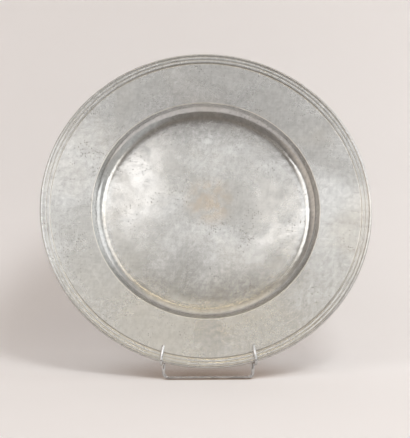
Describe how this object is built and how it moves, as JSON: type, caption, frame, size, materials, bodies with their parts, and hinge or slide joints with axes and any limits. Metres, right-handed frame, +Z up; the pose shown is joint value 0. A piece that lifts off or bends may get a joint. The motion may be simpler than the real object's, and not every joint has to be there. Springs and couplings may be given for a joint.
{
  "type": "platter on a wire stand",
  "caption": "Broad-rimmed round pewter platter with a reeded edge and a deep well, leaning on a folding bent-wire stand.",
  "frame": {"origin": "on the floor, under the middle of the whole's box", "axes": "+Z up, the platter's face looks towards -Y and up, +X to the viewer's right"},
  "size_m": [0.42, 0.1745, 0.3985],
  "materials": {
    "pewter": "satin, worn and tarnished",
    "plated_wire": "bright plated"
  },
  "bodies": {
    "stand": {"cradle_wire": "plated_wire", "front_foot_wire": "plated_wire", "hinge_rod": "plated_wire", "leg_stop_wire": "plated_wire"},
    "rear_leg": {"rear_leg_wire": "plated_wire"},
    "platter": {"platter": "pewter"}
  },
  "joints": [
    {"name": "rear_leg_fold", "type": "hinge", "parent": "stand", "child": "rear_leg", "pos_m": [0, 0.00006, 0.12426], "axis": [1, 0, 0], "range_deg": [-45, 0]},
    {"name": "platter_lift", "type": "slide", "parent": "stand", "child": "platter", "axis": [0, 0.4067, 0.9135], "range_m": [0, 0.15]}
  ]
}
